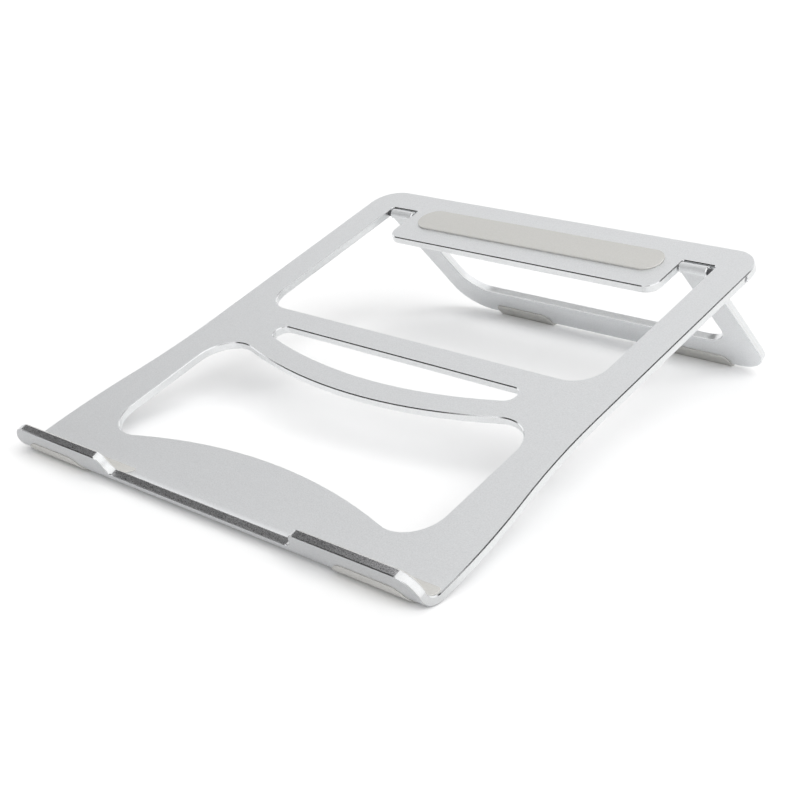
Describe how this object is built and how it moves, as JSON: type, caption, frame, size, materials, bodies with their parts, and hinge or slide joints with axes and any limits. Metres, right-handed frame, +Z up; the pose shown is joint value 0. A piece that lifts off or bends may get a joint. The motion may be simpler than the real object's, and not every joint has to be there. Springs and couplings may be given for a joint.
{
  "type": "laptop stand",
  "caption": "Folding laptop stand bent from one aluminium sheet, with window cut-outs, front hooks with silicone pads and a hinged rear leg that folds flat into the platform",
  "frame": {"origin": "centre of the open stand's bounding box, on the table", "axes": "+X across the stand, +Y from the hooks towards the rear edge and the leg, +Z up"},
  "size_m": [0.268, 0.3094, 0.0789],
  "materials": {
    "aluminium": "bead-blasted and clear anodised, with bright cut chamfers along the edges",
    "steel": "plain ground pin",
    "nylon": "moulded, matt",
    "silicone": "soft matt silicone, warm light grey"
  },
  "bodies": {
    "platform": {"top_plate": "aluminium", "hinge_pin_left": "steel", "hinge_pin_right": "steel", "hinge_spacer_left": "nylon", "hinge_spacer_right": "nylon", "rear_pad": "silicone", "hook_pad_left": "silicone", "hook_pad_right": "silicone", "front_foot_left": "silicone", "front_foot_right": "silicone"},
    "leg": {"rear_leg": "aluminium", "leg_foot_left": "silicone", "leg_foot_right": "silicone"}
  },
  "joints": [
    {"name": "leg_fold", "type": "hinge", "parent": "platform", "child": "leg", "pos_m": [0, 0.08802, 0.07137], "axis": [-1, 0, 0], "range_deg": [0, 116]}
  ]
}
